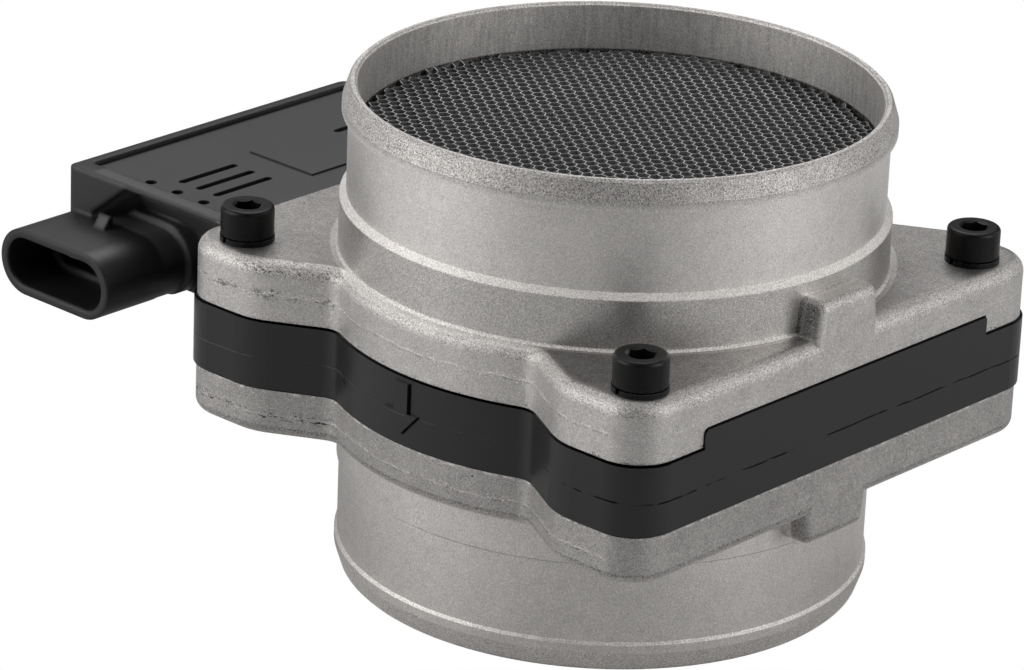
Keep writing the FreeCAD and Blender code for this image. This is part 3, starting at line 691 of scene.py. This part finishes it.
# %% [markdown]
# ## The honeycomb
#
# A flow straightener is made of corrugated foil strips, bonded to each other at every
# second wall and pulled open. Looking in, only the cut edges of the foil catch light: the
# walls below them are in each other's shade. The foil's material paints this in: the cut
# edges bright as painted light, the walls dark as painted shade, and the foil bent up at the
# rim with a painted glint. Edges in the bonded direction are dull with adhesive, and the
# single foils between them zigzag across as bright lines. A flat picture of hexagons would
# lose both, so each cell gets its own walls, and an attribute marks the cut edges. The
# stack is cut round, so the cells at the rim are cut too.

# %% Sizes of the honeycomb
cell_pitch = 1.994 * mm
lattice_turn = 24.35
lattice_shift = np.array([0.65, 1.35]) * mm
foil = 0.11 * mm
cell_scatter = 0.07 * mm
frame_gap = 0.45 * mm
bent_height = 0.5 * mm
screen_r = screen_high.x - frame_gap
print(f"cells {cell_pitch / mm:.2f} mm apart within a radius of {screen_r / mm:.1f} mm")


# %% Where the cells stand
def lattice_points():
    """Centres c = i a + j b of all cells in the frame, for steps a and b 60 degrees apart."""
    first, second = (
        cell_pitch * np.array([math.cos(math.radians(turn)), math.sin(math.radians(turn))])
        for turn in (lattice_turn, lattice_turn + 60)
    )
    reach = int(1.3 * screen_r / cell_pitch)
    i, j = np.meshgrid(np.arange(-reach, reach + 1), np.arange(-reach, reach + 1))
    centres = i.reshape(-1, 1) * first + j.reshape(-1, 1) * second + lattice_shift
    return centres[np.hypot(*centres.T) < screen_r - 0.15 * cell_pitch]


def scattered(points):
    """Points moved by smooth waves and a fine scatter that only depend on where they are.

    The scatter is the fraction left of a large multiple of a sine, which jumps from point
    to point but is the same in each run.
    """
    x, y = points.T / mm
    wave = np.stack([np.sin(0.21 * y + 0.11 * x), np.sin(0.17 * x - 0.13 * y + 1.0)], 1) * 0.1
    jumpy = np.stack([np.sin(12.9898 * x + 78.233 * y), np.sin(39.346 * x + 11.135 * y)], 1)
    fraction = jumpy * 43758.5453 % 1.0
    return points + wave * mm + (fraction - 0.5) * 2 * cell_scatter


def cut_round(points):
    """Points times the frame's radius over their own, where they lie outside the frame."""
    distance = np.hypot(*points.T)[:, None]
    return points * np.minimum(1.0, screen_r / distance)


def bent_edge(points):
    """Height of the torn outermost foil: a squared fraction of the full height."""
    x, y = points[..., 0] / mm, points[..., 1] / mm
    outermost = np.hypot(x, y) * mm > screen_r - 0.12 * mm
    return outermost * (np.sin(57.3 * x + 91.7 * y) * 1731.7 % 1.0) ** 2 * bent_height


print(len(lattice_points()), "cell centres")


# %% Walls of the cells
def cell_corners():
    """Corners c + r (cos t, sin t) of each cell, for six turns t 60 degrees apart.

    Cells share their corners, and rounding makes shared ones equal before the scatter
    moves them, so the foil stays closed.
    """
    turns = np.radians(lattice_turn + 30 + 60 * np.arange(6))
    spokes = cell_pitch / math.sqrt(3) * np.stack([np.cos(turns), np.sin(turns)], 1)
    corners = (lattice_points()[:, None, :] + spokes).reshape(-1, 2)
    return cut_round(scattered(np.round(corners, 7))).reshape(-1, 6, 2)


def cell_rings(outer, raised):
    """Four rings of each cell: outer and inner at the top, inner and outer at the bottom."""
    middle = outer.mean(1, keepdims=True)
    inner = middle + (outer - middle) * (1 - foil / cell_pitch)
    top, bottom = screen_high.z + raised, screen_low.z + 0 * raised
    rings = ((outer, top), (inner, top), (inner, bottom), (outer, bottom))
    return np.concatenate([np.dstack(ring).reshape(-1, 3) for ring in rings])


def build_honeycomb():
    """Vertices, faces and shine: each wall is a cut edge, a face in the cell and a lower edge."""
    outer = cell_corners()
    raised = bent_edge(outer)
    walls = np.arange(6)
    base = np.arange(len(outer))[:, None] * 6
    here, after, step = base + walls, base + (walls + 1) % 6, outer.size // 2
    quad = np.stack([here, after, after + step, here + step], 2).reshape(-1, 4)
    bonded = np.tile(np.isin(walls, (1, 4)), len(outer))
    # painted glint: the foil bent up at the rim is painted four times as bright
    glint = 1 + 3 * (raised.reshape(-1) > 0.5 * bent_height)
    painted_edge_light = np.where(bonded, 0.35, 1.0) * glint
    faces = np.concatenate([quad + level * step for level in range(3)])
    shine = np.concatenate([painted_edge_light, 0 * painted_edge_light, 0 * painted_edge_light])
    return cell_rings(outer, raised), faces, shine


print(f"bent foil stands up to {bent_edge(cell_corners()).max() / mm:.2f} mm proud")


# %% Honeycomb mesh
def mesh_object(name, vertices, faces):
    """Object at the origin from arrays of vertices and four-sided faces."""
    mesh = bpy.data.meshes.new(name)
    mesh.from_pydata(vertices.tolist(), [], faces.tolist())
    mesh.update()
    piece = bpy.data.objects.new(name, mesh)
    bpy.context.scene.collection.objects.link(piece)
    return piece


vertices, faces, shine = build_honeycomb()
honeycomb = mesh_object("honeycomb_cells", vertices, faces)
attribute = honeycomb.data.attributes.new("painted_edge_light", "FLOAT", "FACE")
attribute.data.foreach_set("value", shine)
honeycomb.data.materials.append(materials["honeycomb_foil"])
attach(honeycomb, "root")
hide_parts("flow_straightener")
print(len(faces) // 18, "cells with", len(faces), "faces")

# %% [markdown]
# ## Floor and surroundings
#
# The sensor stands on its outlet rim, in a product shot on pure white. Bare metal shows
# what surrounds it, and the dark stretches on the cylinders say that the studio round
# them was dark. A white room would be simpler and would lose them. So the surroundings are
# nearly black and the floor is pale grey, and only the camera sees both as white. The
# floor lies a hair below the rim, so that no two faces share a plane.

# %% Floor and world
def white_to_camera(tree, shaded, output):
    """Sends an output plain white for camera rays and the given shader for all others."""
    path = tree.nodes.new("ShaderNodeLightPath")
    plain = tree.nodes.new("ShaderNodeEmission")
    mixed = tree.nodes.new("ShaderNodeMixShader")
    tree.links.new(path.outputs["Is Camera Ray"], mixed.inputs[0])
    tree.links.new(shaded, mixed.inputs[1])
    tree.links.new(plain.outputs[0], mixed.inputs[2])
    tree.links.new(mixed.outputs[0], tree.nodes[output].inputs["Surface"])


def make_floor(half, low):
    """Square of pale paper from -half to half, at a height just below the rim."""
    turns = np.array([[-1, -1], [1, -1], [1, 1], [-1, 1]])
    corners = np.column_stack([half * turns, np.full(4, low)])
    floor = mesh_object("floor", corners, np.arange(4)[None])
    surface = Surface("floor_paper")
    grain = surface.noise(3 * mm)
    surface.finish(Base_Color=surface.mix(grain, grey(0.42), grey(0.47)), Roughness=0.8)
    white_to_camera(surface.tree, surface.shader.outputs[0], "Material Output")
    floor.data.materials.append(surface.material)


def make_world(value):
    """Grey surroundings that the camera sees as white."""
    world = bpy.data.worlds.new("studio")
    bpy.context.scene.world = world
    world.use_nodes = True
    around = world.node_tree.nodes["Background"]
    around.inputs["Color"].default_value = grey(value)
    white_to_camera(world.node_tree, around.outputs[0], "World Output")


make_floor(1.5, -0.05 * mm)
make_world(0.06)
print("a paper floor and dark surroundings, both white to the camera")

# %% [markdown]
# ## Lamps
#
# Tall soft lamps on the left and right put two broad bands of light on each cylinder with
# a darker stretch between them. The lamps behind and overhead light the flanges and the
# box. One big even light would be simpler, but it would lose the bands. Each lamp has its
# place as a turn away from the camera, because that is how its reflection is judged.

# %% Directions from the sensor
camera_azimuth = 41.94
camera_elevation = 22.01
target = Vector((0, 0, 45 * mm))


def direction(azimuth, elevation):
    """Unit vector towards a place seen at an azimuth from the front and an elevation."""
    turn, rise = math.radians(azimuth), math.radians(elevation)
    level = Vector((math.sin(turn), -math.cos(turn), 0)) * math.cos(rise)
    return level + Vector((0, 0, math.sin(rise)))


towards_camera = direction(camera_azimuth, camera_elevation)
print("towards the camera", [round(part, 3) for part in towards_camera])

# %% Lamps
lamp_distance = 0.9
upright, small, large = (0.4, 0.8), (0.5, 0.5), (0.7, 0.7)
lamps = (
    ("left_side", -70, 20, upright, 3.3),
    ("left_rear", -95, 20, upright, 2.5),
    ("left_front", -45, 20, upright, 0.3),
    ("left_back", -150, 20, upright, 0.4),
    ("left_high", -140, 52, small, 0.8),
    ("right_front", 45, 20, upright, 1.1),
    ("right_side", 70, 20, upright, 3.6),
    ("right_rear", 120, 20, upright, 1.0),
    ("behind", 180, 52, small, 2.9),
    ("overhead", 180, 86, large, 1.7),
)


def soft_lamp(name, azimuth, elevation, size, power):
    """Rectangular soft lamp that faces the sensor."""
    light = bpy.data.lights.new(name, "AREA")
    light.shape = "RECTANGLE"
    light.size, light.size_y = size
    light.energy = power
    piece = bpy.data.objects.new(name, light)
    away = direction(azimuth, elevation)
    turned = away.to_track_quat("Z", "Y").to_matrix().to_4x4()
    piece.matrix_world = Matrix.Translation(target + away * lamp_distance) @ turned
    bpy.context.scene.collection.objects.link(piece)


for name, turn, elevation, size, power in lamps:
    soft_lamp(name, camera_azimuth + turn, elevation, size, power)
print(len(lamps), "lamps with", round(sum(lamp[-1] for lamp in lamps), 1), "W in all")

# %% [markdown]
# ## Camera
#
# The photograph was taken with a long lens from a little above, held slightly turned.
# Its place was fitted to rings, screws and straight edges. Aiming a camera at a point
# would leave out that turn, so its three axes are worked out and set together.

# %% Camera
camera_place = Vector((494.23, -573.68, 344.95)) * mm
camera_roll = math.radians(2.362)
camera_lens = 176.63


def fitted_camera():
    """Camera whose axes are level right, up and back, turned by the roll."""
    data = bpy.data.cameras.new("camera")
    data.sensor_width = 36.0
    data.lens = camera_lens
    data.clip_start, data.clip_end = 0.05, 10.0
    right = direction(camera_azimuth + 90, 0)
    axes = Matrix((right, towards_camera.cross(right), towards_camera)).transposed()
    turned = axes @ Matrix.Rotation(camera_roll, 3, "Z")
    camera = bpy.data.objects.new("camera", data)
    camera.matrix_world = Matrix.Translation(camera_place) @ turned.to_4x4()
    bpy.context.scene.collection.objects.link(camera)
    return camera


scene = bpy.context.scene
scene.camera = fitted_camera()
scene.view_settings.view_transform = "Standard"
print(f"camera {(camera_place - target).length:.3f} m away with a {camera_lens:.0f} mm lens")

# %% [markdown]
